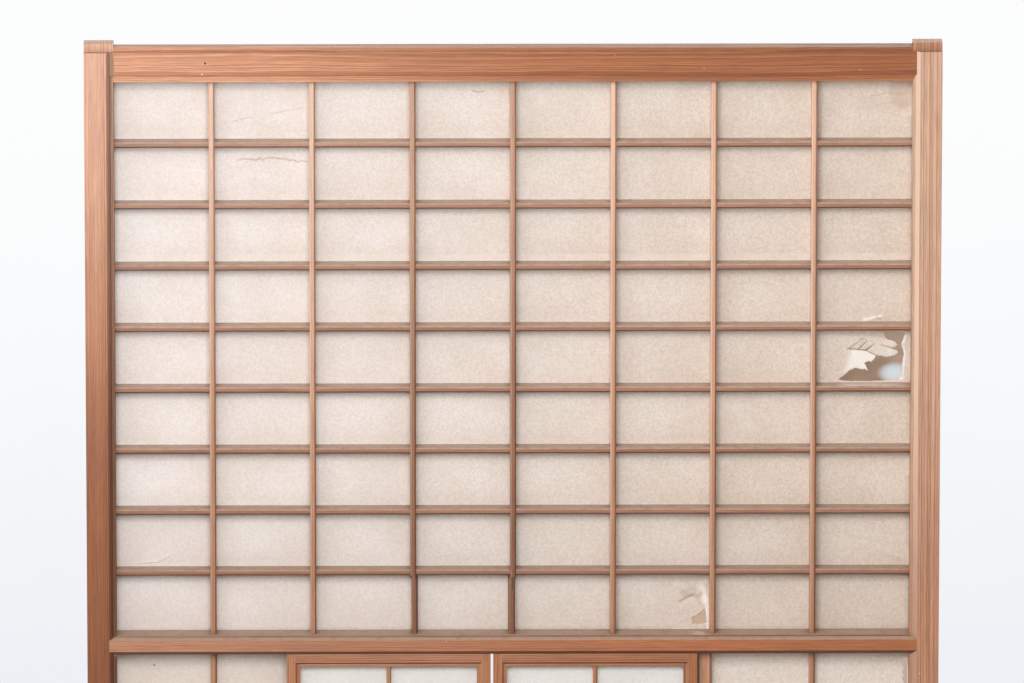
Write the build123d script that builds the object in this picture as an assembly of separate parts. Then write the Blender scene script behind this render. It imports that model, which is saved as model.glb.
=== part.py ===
"""Shoji sliding screen with two small sliding screens in its middle. Millimetres.
X runs across the screen, its front looks along -Y, and Z is up from the sill.
A depth is measured back from the front face of the stiles."""
import os

from build123d import *

os.makedirs("parts", exist_ok=True)

# Frame
SCREEN_W = 874.0
FRAME_T = 33.0
STILE_W = 30.0
TOP_RAIL_H = 35.0
MIDDLE_RAIL_H = 22.0
BOTTOM_RAIL_H = 68.0
HORN_H = 4.5
TOP_RAIL_SETBACK = 3.5
TOP_BAND_H = 7.0
RAIL_TENON_L = 22.0
RAIL_TENON_T = 10.0
RAIL_TENON_SHOULDER = 5.0

# Moulding along the inner edges of the frame: a slope, then a flat step. On the stiles
# the slope is at 45 degrees. On the rails the moulding is as deep, but not as wide.
SLOPE = 4.5
STEP = 3.0
MITRE_D = 2.0
RAIL_UPPER_MOULDING = 4.0
RAIL_LOWER_MOULDING = 6.5

# Tongues that run in the grooves of the lintel and the sill
TONGUE_T = 20.5
HEAD_TONGUE_H = 8.5
SILL_TONGUE_H = 3.0

# Lattice
BAR_W = 6.0
BAR_CHAMFER = 1.5
UPRIGHT_D = 19.5
COLUMNS = 8
ROW_PITCH = 64.0
EDGE_GAP = 61.5
TOP_GAP = 64.0
UPPER_BARS = 8
MIDDLE_BARS = 6
LOWER_BARS = 8
BAR_TENON_L = 5.0
BAR_TENON_T = 3.6
BAR_TENON_MARGIN = 3.5
MORTISE_END = 0.5

# Paper, pasted on the back of the lattice and into a rebate of the frame
PAPER_T = 0.3
PAPER_REBATE = 2.0
PAPER_LAP = 4.5
PAPER_EDGE_CLEARANCE = 0.5

# Fixed posts beside the window in the middle, set from the second column line
POST_INSET = 0.5
POST_W = 12.5
POST_CHAMFER = 2.2
POST_TENON_L = 8.0
SIDE_UPRIGHT_SETBACK = 1.0

# The two small screens
SMALL_W = 209.5
SMALL_T = 12.0
SMALL_STILE_W = 14.0
SMALL_RAIL_H = 18.0
SMALL_SLOPE = 2.0
SMALL_STEP = 3.0
SMALL_BAR_W = 4.5
SMALL_BAR_CHAMFER = 1.0
SMALL_BAR_SETBACK = 1.5
SMALL_BAR_TENON_L = 3.0
SMALL_BAR_TENON_T = 2.5
SMALL_BAR_TENON_MARGIN = 1.5
SMALL_RAIL_TENON_L = 9.0
SMALL_RAIL_TENON_T = 4.0
SMALL_PAPER_REBATE = 1.0
SMALL_PAPER_LAP = 3.5
SLIDE_CLEARANCE = 0.3
SILL_GROOVE_H = 6.0
HEAD_GROOVE_H = 10.0
HEAD_ENGAGEMENT = 6.5

# Where the photograph shows the two small screens meet, and the gap between them
MEETING_X = -21.7
MEETING_GAP = 2.6
LEFT_SMALL_X = MEETING_X - MEETING_GAP / 2 - SMALL_W
RIGHT_SMALL_X = MEETING_X + MEETING_GAP / 2

# Depths that follow from the sizes above
PAPER_DEPTH = FRAME_T - PAPER_REBATE
UPRIGHT_FRONT = PAPER_DEPTH - UPRIGHT_D
SMALL_FRONT = SLOPE + SLIDE_CLEARANCE
SMALL_BACK = SMALL_FRONT + SMALL_T
GROOVE_BACK = SMALL_BACK + SLIDE_CLEARANCE
POST_FRONT = GROOVE_BACK + SLIDE_CLEARANCE
SIDE_UPRIGHT_FRONT = POST_FRONT + SIDE_UPRIGHT_SETBACK
SMALL_PAPER_DEPTH = SMALL_BACK - SMALL_PAPER_REBATE
SMALL_UPRIGHT_FRONT = SMALL_FRONT + SMALL_SLOPE + SMALL_BAR_SETBACK

# Inner edges that follow from the sizes above
INNER_X = SCREEN_W / 2 - STILE_W
COLUMN_PITCH = (2 * INNER_X + BAR_W) / COLUMNS
POST_OUTER_X = 2 * COLUMN_PITCH - POST_INSET
POST_INNER_X = POST_OUTER_X - POST_W
MOULDING = SLOPE + STEP
SMALL_MOULDING = SMALL_SLOPE + SMALL_STEP
TONGUE_FRONT = (FRAME_T - TONGUE_T) / 2
TONGUE_BACK = FRAME_T - TONGUE_FRONT


def opening_height(bars):
    """Clear height of an opening that holds this many crossbars."""
    return 2 * EDGE_GAP + BAR_W + (bars - 1) * ROW_PITCH


LOWER_Z0 = BOTTOM_RAIL_H
LOWER_Z1 = LOWER_Z0 + opening_height(LOWER_BARS)
MIDDLE_Z0 = LOWER_Z1 + MIDDLE_RAIL_H
MIDDLE_Z1 = MIDDLE_Z0 + opening_height(MIDDLE_BARS)
UPPER_Z0 = MIDDLE_Z1 + MIDDLE_RAIL_H
UPPER_Z1 = UPPER_Z0 + opening_height(UPPER_BARS) - EDGE_GAP + TOP_GAP
TOP_RAIL_Z1 = UPPER_Z1 + TOP_RAIL_H
SCREEN_H = TOP_RAIL_Z1 + HORN_H
SMALL_Z0 = MIDDLE_Z0 - SILL_GROOVE_H + SLIDE_CLEARANCE
SMALL_Z1 = MIDDLE_Z1 + HEAD_ENGAGEMENT


def y_at(depth):
    """Turns a depth behind the front face into a Y coordinate."""
    return depth - FRAME_T / 2


def block(x0, x1, d0, d1, z0, z1):
    """A box given by its sides; d0 and d1 are depths."""
    size = Box(x1 - x0, d1 - d0, z1 - z0)
    return Pos((x0 + x1) / 2, y_at((d0 + d1) / 2), (z0 + z1) / 2) * size


def prism(points, travel):
    """Solid swept from a flat polygon of 3D points along the travel vector."""
    face = Face(Wire.make_polygon([Vector(*p) for p in points]))
    return Part() + Solid.extrude(face, Vector(*travel))


def upright_prism(section, z0, z1):
    """Stands a section of (x, depth) points between two heights."""
    return prism([(x, y_at(d), z0) for x, d in section], (0, 0, z1 - z0))


def crosswise_prism(section, x0, x1):
    """Lays a section of (depth, z) points between two places across the screen."""
    return prism([(x0, y_at(d), z) for d, z in section], (x1 - x0, 0, 0))


def front_prism(outline, d0, d1):
    """Carries an outline of (x, z) points from one depth to another."""
    return prism([(x, y_at(d0), z) for x, z in outline], (0, d1 - d0, 0))


def joined(pieces):
    """One solid from pieces that touch or overlap."""
    whole = Part()
    for piece in pieces:
        whole += piece
    return whole


def without(body, cutters):
    """The body less each cutter."""
    for cutter in cutters:
        body -= cutter
    return body


def mirrored(body):
    """The same piece on the other side of the screen."""
    return mirror(body, about=Plane.YZ)


def one_solid(body, name):
    """Stops the build unless the piece is a single solid."""
    solids = body.solids()
    if len(solids) != 1:
        raise ValueError(f"{name} has {len(solids)} solids")
    return solids[0]


def save(body, name):
    """Writes one solid as a node."""
    export_step(one_solid(body, name), f"parts/{name}.step")


def save_group(bodies, name):
    """Writes alike pieces as separate solids of one node."""
    solids = [one_solid(body, name) for body in bodies]
    export_step(Compound(children=solids), f"parts/{name}.step")


def bar_heights(z0, bars):
    """Centre heights of the crossbars above an opening's lower edge."""
    first = z0 + EDGE_GAP + BAR_W / 2
    return [first + i * ROW_PITCH for i in range(bars)]


def column_places():
    """Centres of the uprights across a full opening."""
    middle = COLUMNS / 2
    return [(i - middle) * COLUMN_PITCH for i in range(1, COLUMNS)]


UPRIGHT_XS = column_places()
SIDE_UPRIGHT_X = UPRIGHT_XS[-1]
LOWER_ZS = bar_heights(LOWER_Z0, LOWER_BARS)
MIDDLE_ZS = bar_heights(MIDDLE_Z0, MIDDLE_BARS)
UPPER_ZS = bar_heights(UPPER_Z0, UPPER_BARS)


class Lattice:
    """Sizes shared by the uprights and crossbars of one lattice."""

    def __init__(self, front, back, width, chamfer, tenon_l, tenon_t, margin):
        self.front = front
        self.cross_front = front + chamfer
        self.back = back
        self.lap = (self.cross_front + back) / 2
        self.width = width
        self.chamfer = chamfer
        self.tenon_l = tenon_l
        self.tenon_t = tenon_t
        self.tenon_d0 = self.cross_front + margin
        self.tenon_d1 = back - margin

    def section(self, centre, front):
        """Bar section of (across, depth) points with both front edges chamfered."""
        half = self.width / 2
        flat = half - self.chamfer
        return [
            (centre - half, self.back),
            (centre - half, front + self.chamfer),
            (centre - flat, front),
            (centre + flat, front),
            (centre + half, front + self.chamfer),
            (centre + half, self.back),
        ]

    def upright(self, x, z0, z1, bar_zs):
        """Upright with stub tenons, notched from the back over each crossbar."""
        half = self.width / 2
        body = upright_prism(self.section(x, self.front), z0, z1)
        body += self.upright_tenons(x, z0, z1, 0)
        laps = [
            block(x - half, x + half, self.lap, self.back, z - half, z + half)
            for z in bar_zs
        ]
        return without(body, laps)

    def crossbar(self, z, x0, x1, upright_xs):
        """Crossbar with stub tenons, notched from the front under each upright."""
        half = self.width / 2
        section = [(d, across) for across, d in self.section(z, self.cross_front)]
        body = crosswise_prism(section, x0, x1)
        body += self.crossbar_tenons(z, x0, x1, 0)
        laps = [
            block(x - half, x + half, self.cross_front, self.lap, z - half, z + half)
            for x in upright_xs
        ]
        return without(body, laps)

    def upright_tenons(self, x, z0, z1, extra):
        """Both end tenons as one bar, or the cutter for their mortises."""
        half = self.tenon_t / 2
        reach = self.tenon_l + extra
        return block(x - half, x + half, self.tenon_d0, self.tenon_d1, z0 - reach, z1 + reach)

    def crossbar_tenons(self, z, x0, x1, extra):
        """Both end tenons as one bar, or the cutter for their mortises."""
        half = self.tenon_t / 2
        reach = self.tenon_l + extra
        return block(x0 - reach, x1 + reach, self.tenon_d0, self.tenon_d1, z - half, z + half)


MAIN = Lattice(UPRIGHT_FRONT, PAPER_DEPTH, BAR_W, BAR_CHAMFER,
               BAR_TENON_L, BAR_TENON_T, BAR_TENON_MARGIN)
SIDE = Lattice(SIDE_UPRIGHT_FRONT, PAPER_DEPTH, BAR_W, BAR_CHAMFER,
               BAR_TENON_L, BAR_TENON_T, BAR_TENON_MARGIN)
SMALL = Lattice(SMALL_UPRIGHT_FRONT, SMALL_PAPER_DEPTH, SMALL_BAR_W, SMALL_BAR_CHAMFER,
                SMALL_BAR_TENON_L, SMALL_BAR_TENON_T, SMALL_BAR_TENON_MARGIN)

# Openings that paper closes, as (x0, x1, z0, z1)
PAPERED = {
    "upper_paper": (-INNER_X, INNER_X, UPPER_Z0, UPPER_Z1),
    "lower_paper": (-INNER_X, INNER_X, LOWER_Z0, LOWER_Z1),
    "left_side_paper": (-INNER_X, -POST_OUTER_X, MIDDLE_Z0, MIDDLE_Z1),
    "right_side_paper": (POST_OUTER_X, INNER_X, MIDDLE_Z0, MIDDLE_Z1),
}


def paper_rebates():
    """Cutters for the rebates that the sheets lie in, on the back of the frame."""
    grow = PAPER_LAP + PAPER_EDGE_CLEARANCE
    return [
        block(x0 - grow, x1 + grow, PAPER_DEPTH, FRAME_T, z0 - grow, z1 + grow)
        for x0, x1, z0, z1 in PAPERED.values()
    ]


def lattice_mortises():
    """Cutters in the frame and posts for every stub tenon of the fixed lattice."""
    cutters = []
    for z0, z1, bar_zs in ((UPPER_Z0, UPPER_Z1, UPPER_ZS), (LOWER_Z0, LOWER_Z1, LOWER_ZS)):
        for x in UPRIGHT_XS:
            cutters.append(MAIN.upright_tenons(x, z0, z1, MORTISE_END))
        for z in bar_zs:
            cutters.append(MAIN.crossbar_tenons(z, -INNER_X, INNER_X, MORTISE_END))
    for x in (-SIDE_UPRIGHT_X, SIDE_UPRIGHT_X):
        cutters.append(SIDE.upright_tenons(x, MIDDLE_Z0, MIDDLE_Z1, MORTISE_END))
    for z in MIDDLE_ZS:
        for x0, x1 in ((-INNER_X, -POST_OUTER_X), (POST_OUTER_X, INNER_X)):
            cutters.append(SIDE.crossbar_tenons(z, x0, x1, MORTISE_END))
    return cutters


def near(body, cutters):
    """The cutters whose boxes meet the body's box."""
    box = body.bounding_box()
    kept = []
    for cutter in cutters:
        other = cutter.bounding_box()
        apart = (
            other.max.X <= box.min.X or other.min.X >= box.max.X
            or other.max.Z <= box.min.Z or other.min.Z >= box.max.Z
        )
        if not apart:
            kept.append(cutter)
    return kept


def rail_tenons(z0, z1, extra):
    """Both end tenons of a rail as one bar, or the cutter for their mortises."""
    reach = INNER_X + RAIL_TENON_L + extra
    middle = FRAME_T / 2
    return block(-reach, reach, middle - RAIL_TENON_T / 2, middle + RAIL_TENON_T / 2,
                 z0 + RAIL_TENON_SHOULDER, z1 - RAIL_TENON_SHOULDER)


RAILS = {
    "bottom_rail": (0.0, LOWER_Z0),
    "lower_middle_rail": (LOWER_Z1, MIDDLE_Z0),
    "upper_middle_rail": (MIDDLE_Z1, UPPER_Z0),
    "top_rail": (UPPER_Z1, TOP_RAIL_Z1),
}


def moulding_mitre(z0, z1, low, high):
    """Front outline of a rail: mitred ends on each edge that carries the moulding."""
    wide = INNER_X + MOULDING
    upper, lower = z1 - RAIL_UPPER_MOULDING, z0 + RAIL_LOWER_MOULDING
    left = [(-wide, upper), (-INNER_X, z1)] if high else [(-wide, z1)]
    right = [(INNER_X, z1), (wide, upper)] if high else [(wide, z1)]
    if low:
        foot = [(wide, lower), (INNER_X, z0), (-INNER_X, z0), (-wide, lower)]
    else:
        foot = [(wide, z0), (-wide, z0)]
    return left + right + foot


def moulded_plate(z0, z1, low, high):
    """The front of a rail, with its sloped and stepped edges and mitred ends."""
    back = SLOPE + MITRE_D
    share = STEP / MOULDING
    upper, lower = RAIL_UPPER_MOULDING, RAIL_LOWER_MOULDING
    bottom = [(SLOPE, z0), (SLOPE, z0 + share * lower), (0, z0 + lower)] if low else [(0, z0)]
    top = [(0, z1 - upper), (SLOPE, z1 - share * upper), (SLOPE, z1)] if high else [(0, z1)]
    wide = INNER_X + MOULDING
    plate = crosswise_prism([(back, z0)] + bottom + top + [(back, z1)], -wide, wide)
    return plate & front_prism(moulding_mitre(z0, z1, low, high), 0, back)


def tongue_cutters(z0, z1):
    """Cutters that thin the frame to a tongue between two heights."""
    half = SCREEN_W / 2
    return [
        block(-half, half, 0, TONGUE_FRONT, z0, z1),
        block(-half, half, TONGUE_BACK, FRAME_T, z0, z1),
    ]


HEAD_TONGUE = tongue_cutters(SCREEN_H - HEAD_TONGUE_H, SCREEN_H)
SILL_TONGUE = tongue_cutters(0, SILL_TONGUE_H)
REBATES = paper_rebates()
MORTISES = lattice_mortises()


def sill_groove():
    """Cutter for the groove the small screens stand in."""
    return block(-INNER_X, INNER_X, SLOPE, GROOVE_BACK, MIDDLE_Z0 - SILL_GROOVE_H, MIDDLE_Z0)


def head_groove():
    """Cutter for the deeper groove that lets a small screen be lifted in."""
    return block(-INNER_X, INNER_X, SLOPE, GROOVE_BACK, MIDDLE_Z1, MIDDLE_Z1 + HEAD_GROOVE_H)


def post_tenons(extra):
    """Both end tenons of the right post as one bar, or the cutter for their mortises."""
    margin = POST_W / 4
    reach = POST_TENON_L + extra
    return block(POST_INNER_X + margin, POST_OUTER_X - margin,
                 POST_FRONT + POST_CHAMFER, PAPER_DEPTH - BAR_TENON_MARGIN,
                 MIDDLE_Z0 - reach, MIDDLE_Z1 + reach)


def frame_rail(name, low, high, extra_cutters):
    """A rail flush with the stiles: body, moulded plate, tenons, less its cutters."""
    z0, z1 = RAILS[name]
    body = joined([
        block(-INNER_X, INNER_X, SLOPE, FRAME_T, z0, z1),
        moulded_plate(z0, z1, low, high),
        rail_tenons(z0, z1, 0),
    ])
    return without(body, near(body, REBATES + MORTISES) + extra_cutters)


def band_corner():
    """Right end of the top rail's stepped band, mitred into the stile's step. It
    goes on a little above the band, behind the rail's face, to be one with it."""
    z0 = UPPER_Z1
    band = z0 + TOP_BAND_H
    edge = INNER_X + STEP
    outline = [(INNER_X, z0), (edge, band), (edge, band + MITRE_D), (INNER_X, band + MITRE_D)]
    return front_prism(outline, SLOPE, SLOPE + MITRE_D)


def top_rail_face():
    """Face of the top rail: behind the stiles' face, scribed to their slopes."""
    edge = INNER_X + STEP
    front_edge = edge + SLOPE - TOP_RAIL_SETBACK
    plan = [(-front_edge, TOP_RAIL_SETBACK), (front_edge, TOP_RAIL_SETBACK),
            (edge, SLOPE), (-edge, SLOPE)]
    return upright_prism(plan, UPPER_Z1 + TOP_BAND_H, TOP_RAIL_Z1)


def top_rail():
    """Top rail with its stepped lower band and the tongue on its head."""
    z0, z1 = RAILS["top_rail"]
    body = joined([
        block(-INNER_X, INNER_X, SLOPE, FRAME_T, z0, z1),
        top_rail_face(),
        band_corner(),
        mirrored(band_corner()),
        rail_tenons(z0, z1, 0),
    ])
    return without(body, near(body, REBATES + MORTISES) + HEAD_TONGUE)


def stile_section():
    """Section of the right stile: square outside, moulded towards the opening."""
    outer = SCREEN_W / 2
    return [
        (outer, 0),
        (outer, FRAME_T),
        (INNER_X, FRAME_T),
        (INNER_X, SLOPE),
        (INNER_X + STEP, SLOPE),
        (INNER_X + MOULDING, 0),
    ]


def right_stile():
    """Right stile with its mortises, and its moulding cut back at each rail."""
    body = upright_prism(stile_section(), 0, SCREEN_H)
    cutters = list(HEAD_TONGUE) + list(SILL_TONGUE)
    for name, (z0, z1) in RAILS.items():
        cutters.append(rail_tenons(z0, z1, MORTISE_END))
        if name != "top_rail":
            low = name != "bottom_rail"
            outline = moulding_mitre(z0, z1, low, True)
            cutters.append(front_prism(outline, 0, SLOPE + MITRE_D))
    cutters.append(band_corner())
    return without(body, cutters + near(body, REBATES + MORTISES))


def right_post():
    """Fixed post between the window and the right side lattice."""
    inner = POST_INNER_X
    outer = POST_OUTER_X
    section = [
        (inner, POST_FRONT + POST_CHAMFER),
        (inner + POST_CHAMFER, POST_FRONT),
        (outer - POST_CHAMFER, POST_FRONT),
        (outer, POST_FRONT + POST_CHAMFER),
        (outer, FRAME_T),
        (inner, FRAME_T),
    ]
    body = upright_prism(section, MIDDLE_Z0, MIDDLE_Z1) + post_tenons(0)
    return without(body, near(body, REBATES + MORTISES))


def zigzag(x_ragged, x_straight, z0, z1, teeth, depth):
    """Outline of a strip torn away, ragged on one side."""
    rise = (z1 - z0) / (2 * teeth)
    ragged = []
    for i in range(2 * teeth + 1):
        swing = depth if i % 2 else -depth * ((i * 3) % 5) / 5
        ragged.append((x_ragged + swing, z0 + i * rise))
    return ragged + [(x_straight, z1), (x_straight, z0)]


def from_corner(x, z, pairs):
    """Moves outline points so that they are measured from a corner of a cell."""
    return [(x + dx, z + dz) for dx, dz in pairs]


def large_tear():
    """See-through part of the large tear, from its cell's lower right corner."""
    corner_z = UPPER_ZS[3] + BAR_W / 2
    return from_corner(INNER_X, corner_z, [
        (-25, 57), (-26, 48), (-22.5, 44.8), (-18.5, 44.3), (-15.5, 42.5), (-13, 39.5),
        (-15.5, 36.5), (-19, 35.6), (-16.5, 34.4), (-13, 33), (-12, 31.2), (-15.5, 29),
        (-19.5, 27.5), (-25.5, 26.5), (-29.5, 28), (-34.8, 28), (-36.3, 27), (-35.8, 25),
        (-40, 20.3), (-42, 21.3), (-47.5, 19.8), (-45, 15.6), (-43.5, 11), (-47, 13.2),
        (-50, 13), (-56.3, 15), (-62.5, 12.5), (-67.5, 7.8), (-73.5, 2.6), (-62, 1.6),
        (-42, 1.5), (-27, 2.1), (-16.5, 3.6), (-9.5, 4.7), (-8, 20.3), (-6.5, 30.7),
        (-9.5, 40), (-6.5, 47), (-4.5, 57),
    ])


def small_tear():
    """See-through corner torn beside an upright in the lowest row of the upper paper."""
    x = UPRIGHT_XS[5] - BAR_W / 2
    return from_corner(x, UPPER_Z0, [
        (-5, 21.5), (-3, 17.5), (-2.8, 6.5), (-11, 5.2), (-16.5, 6), (-16.8, 11.5),
        (-11.5, 14.6), (-7.5, 17.8),
    ])


def edge_tear():
    """Strip torn from the edge of the right side paper, under the middle rail."""
    return zigzag(INNER_X - 5.5, INNER_X - 0.8, MIDDLE_Z1 - 46, MIDDLE_Z1 - 9, 5, 1.3)


def paper(name, tears):
    """A sheet pasted behind an opening, with its tears cut through."""
    x0, x1, z0, z1 = PAPERED[name]
    lap = PAPER_LAP
    sheet = block(x0 - lap, x1 + lap, PAPER_DEPTH, PAPER_DEPTH + PAPER_T, z0 - lap, z1 + lap)
    past = PAPER_DEPTH + PAPER_T + 1
    cutters = [front_prism(tear, PAPER_DEPTH - 1, past) for tear in tears]
    save(without(sheet, cutters), name)


def small_stile_section(x):
    """Section of a small screen's left stile whose outer edge is at x."""
    inner = x + SMALL_STILE_W
    return [
        (x, SMALL_FRONT),
        (inner - SMALL_MOULDING, SMALL_FRONT),
        (inner - SMALL_STEP, SMALL_FRONT + SMALL_SLOPE),
        (inner, SMALL_FRONT + SMALL_SLOPE),
        (inner, SMALL_BACK),
        (x, SMALL_BACK),
    ]


class SmallScreen:
    """One small sliding screen, from the place of its left edge."""

    def __init__(self, name, x):
        self.name = name
        self.x0 = x
        self.x1 = x + SMALL_W
        self.centre = x + SMALL_W / 2
        self.in_x0 = self.x0 + SMALL_STILE_W
        self.in_x1 = self.x1 - SMALL_STILE_W
        self.in_z0 = SMALL_Z0 + SMALL_RAIL_H
        self.in_z1 = SMALL_Z1 - SMALL_RAIL_H

    def rail_tenons(self, z0, z1, extra):
        """Both end tenons of a rail as one bar, or the cutter for their mortises."""
        reach = SMALL_RAIL_TENON_L + extra
        middle = (SMALL_FRONT + SMALL_BACK) / 2
        half = SMALL_RAIL_TENON_T / 2
        return block(self.in_x0 - reach, self.in_x1 + reach, middle - half, middle + half,
                     z0 + SMALL_RAIL_H / 4, z1 - SMALL_RAIL_H / 4)

    def rail_outline(self, z0, z1, inner_z):
        """Front outline of a rail with its moulded edge mitred at both ends."""
        m = SMALL_MOULDING
        outer_z = z0 if inner_z == z1 else z1
        turn_z = inner_z - m if inner_z == z1 else inner_z + m
        return [(self.in_x0 - m, outer_z), (self.in_x0 - m, turn_z), (self.in_x0, inner_z),
                (self.in_x1, inner_z), (self.in_x1 + m, turn_z), (self.in_x1 + m, outer_z)]

    def rail_front(self, z0, z1, inner_z):
        """The front of a rail, with one sloped edge and mitred ends."""
        m = SMALL_MOULDING
        step = SMALL_STEP
        way = -1 if inner_z == z1 else 1
        outer_z = z0 if inner_z == z1 else z1
        face = SMALL_FRONT
        base = SMALL_FRONT + SMALL_SLOPE
        section = [(face, outer_z), (base, outer_z), (base, inner_z + way * step),
                   (face, inner_z + way * m)]
        bar = crosswise_prism(section, self.in_x0 - m, self.in_x1 + m)
        return bar & front_prism(self.rail_outline(z0, z1, inner_z), face, base)

    def rail(self, z0, z1, inner_z):
        """Top or bottom rail of the small screen."""
        base = SMALL_FRONT + SMALL_SLOPE
        body = joined([
            block(self.in_x0, self.in_x1, base, SMALL_BACK, z0, z1),
            self.rail_front(z0, z1, inner_z),
            self.rail_tenons(z0, z1, 0),
        ])
        return without(body, self.mortises() + [self.rebate()])

    def mortises(self):
        """Cutters for the stub tenons of the small lattice."""
        cutters = [SMALL.upright_tenons(self.centre, self.in_z0, self.in_z1, MORTISE_END)]
        for z in MIDDLE_ZS:
            cutters.append(SMALL.crossbar_tenons(z, self.in_x0, self.in_x1, MORTISE_END))
        return cutters

    def rebate(self):
        """Cutter for the rebate on the back that the paper lies in."""
        grow = SMALL_PAPER_LAP + PAPER_EDGE_CLEARANCE
        return block(self.in_x0 - grow, self.in_x1 + grow, SMALL_PAPER_DEPTH, SMALL_BACK,
                     self.in_z0 - grow, self.in_z1 + grow)

    def left_stile(self):
        """Left stile, with mortises and with its moulding cut back at the rails."""
        body = upright_prism(small_stile_section(self.x0), SMALL_Z0, SMALL_Z1)
        base = SMALL_FRONT + SMALL_SLOPE
        cutters = self.mortises() + [self.rebate()]
        for z0, z1, inner_z in self.rails():
            cutters.append(self.rail_tenons(z0, z1, MORTISE_END))
            outline = self.rail_outline(z0, z1, inner_z)
            cutters.append(front_prism(outline, SMALL_FRONT, base))
        return without(body, cutters)

    def rails(self):
        """Lower and upper rail as (z0, z1, inner edge)."""
        return [(SMALL_Z0, self.in_z0, self.in_z0), (self.in_z1, SMALL_Z1, self.in_z1)]

    def sheet(self):
        """The small screen's paper."""
        lap = SMALL_PAPER_LAP
        return block(self.in_x0 - lap, self.in_x1 + lap, SMALL_PAPER_DEPTH,
                     SMALL_PAPER_DEPTH + PAPER_T, self.in_z0 - lap, self.in_z1 + lap)

    def save(self):
        """Writes the small screen's pieces."""
        left = self.left_stile()
        right = mirror(left, about=Plane.YZ.offset(self.centre))
        lower, upper = self.rails()
        save(left, f"{self.name}_left_stile")
        save(right, f"{self.name}_right_stile")
        save(self.rail(*lower), f"{self.name}_bottom_rail")
        save(self.rail(*upper), f"{self.name}_top_rail")
        save(SMALL.upright(self.centre, self.in_z0, self.in_z1, MIDDLE_ZS), f"{self.name}_upright")
        bars = [SMALL.crossbar(z, self.in_x0, self.in_x1, [self.centre]) for z in MIDDLE_ZS]
        save_group(bars, f"{self.name}_crossbars")
        save(self.sheet(), f"{self.name}_paper")


def save_frame():
    """Writes the stiles, the rails and the posts."""
    stile = right_stile()
    post_mortises = [post_tenons(MORTISE_END), mirrored(post_tenons(MORTISE_END))]
    save(stile, "right_stile")
    save(mirrored(stile), "left_stile")
    save(top_rail(), "top_rail")
    upper = frame_rail("upper_middle_rail", True, True, [head_groove()] + post_mortises)
    save(upper, "upper_middle_rail")
    lower = frame_rail("lower_middle_rail", True, True, [sill_groove()] + post_mortises)
    save(lower, "lower_middle_rail")
    save(frame_rail("bottom_rail", False, True, SILL_TONGUE), "bottom_rail")
    post = right_post()
    save(post, "right_post")
    save(mirrored(post), "left_post")


def save_full_lattice(name, z0, z1, bar_zs):
    """Writes the uprights and crossbars of an opening as wide as the frame."""
    for i, x in enumerate(UPRIGHT_XS, 1):
        save(MAIN.upright(x, z0, z1, bar_zs), f"{name}_upright_{i}")
    for i, z in enumerate(reversed(bar_zs), 1):
        save(MAIN.crossbar(z, -INNER_X, INNER_X, UPRIGHT_XS), f"{name}_crossbar_{i}")


def save_side_lattices():
    """Writes the narrow lattices beside the posts."""
    upright = SIDE.upright(SIDE_UPRIGHT_X, MIDDLE_Z0, MIDDLE_Z1, MIDDLE_ZS)
    bars = [SIDE.crossbar(z, POST_OUTER_X, INNER_X, [SIDE_UPRIGHT_X]) for z in MIDDLE_ZS]
    save(upright, "right_side_upright")
    save(mirrored(upright), "left_side_upright")
    save_group(bars, "right_side_crossbars")
    save_group([mirrored(bar) for bar in bars], "left_side_crossbars")


save_frame()
save_full_lattice("upper", UPPER_Z0, UPPER_Z1, UPPER_ZS)
save_full_lattice("lower", LOWER_Z0, LOWER_Z1, LOWER_ZS)
save_side_lattices()
paper("upper_paper", [large_tear(), small_tear()])
paper("lower_paper", [])
paper("left_side_paper", [])
paper("right_side_paper", [edge_tear()])
SmallScreen("left_small", LEFT_SMALL_X).save()
SmallScreen("right_small", RIGHT_SMALL_X).save()
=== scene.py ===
import math
import random

import bmesh
import bpy
from mathutils import Matrix, Vector, noise


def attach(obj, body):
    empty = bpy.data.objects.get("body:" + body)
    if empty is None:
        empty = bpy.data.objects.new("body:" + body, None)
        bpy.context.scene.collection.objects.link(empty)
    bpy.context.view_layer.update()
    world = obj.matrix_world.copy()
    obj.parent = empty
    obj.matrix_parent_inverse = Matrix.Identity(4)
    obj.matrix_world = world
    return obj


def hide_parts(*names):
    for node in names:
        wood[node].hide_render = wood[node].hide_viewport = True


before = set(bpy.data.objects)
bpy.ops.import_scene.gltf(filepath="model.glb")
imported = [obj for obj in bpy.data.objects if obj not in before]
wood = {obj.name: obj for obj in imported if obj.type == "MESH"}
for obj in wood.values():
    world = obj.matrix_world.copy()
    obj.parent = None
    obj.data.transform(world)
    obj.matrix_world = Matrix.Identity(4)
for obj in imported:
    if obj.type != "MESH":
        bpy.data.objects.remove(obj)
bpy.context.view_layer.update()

# The room: a pale floor, a white backdrop a hand's breadth behind the screen, and close
# behind its tears a backdrop with painted shade and a painted pool of light, for the dim,
# shaded room seen through them. Soft lights hang up at its left, before it and behind it.
# The camera's lens is long, and looks slightly down on the tops of the crossbars.
SCREEN_BACK = 0.0165
BACKDROP_GAP = 0.065
ROOM_HALF = 7.0
BACKDROP_HIGH = 4.0
FLOOR_GLOW = 0.26
CAMERA_AT = (-0.14645, -13.99374, 4.49083)
CAMERA_YAW, CAMERA_PITCH, CAMERA_ROLL = -0.5952, -12.2816, 0.0151
CAMERA_LENS = 492.19


def add(tree, kind, inputs=None, **settings):
    """One node, with its settings, and its inputs set or joined."""
    node = tree.nodes.new(kind)
    for name, value in settings.items():
        setattr(node, name, value)
    for name, value in (inputs or {}).items():
        if isinstance(value, bpy.types.NodeSocket):
            tree.links.new(value, node.inputs[name])
        else:
            node.inputs[name].default_value = value
    return node


def new_material(name):
    """An empty material and its node tree."""
    made = bpy.data.materials.new(name)
    made.use_nodes = True
    made.node_tree.nodes.clear()
    return made, made.node_tree


def finish_surface(tree, shader):
    """Joins a shader to the material's output."""
    out = add(tree, "ShaderNodeOutputMaterial")
    tree.links.new(shader, out.inputs["Surface"])


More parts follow.
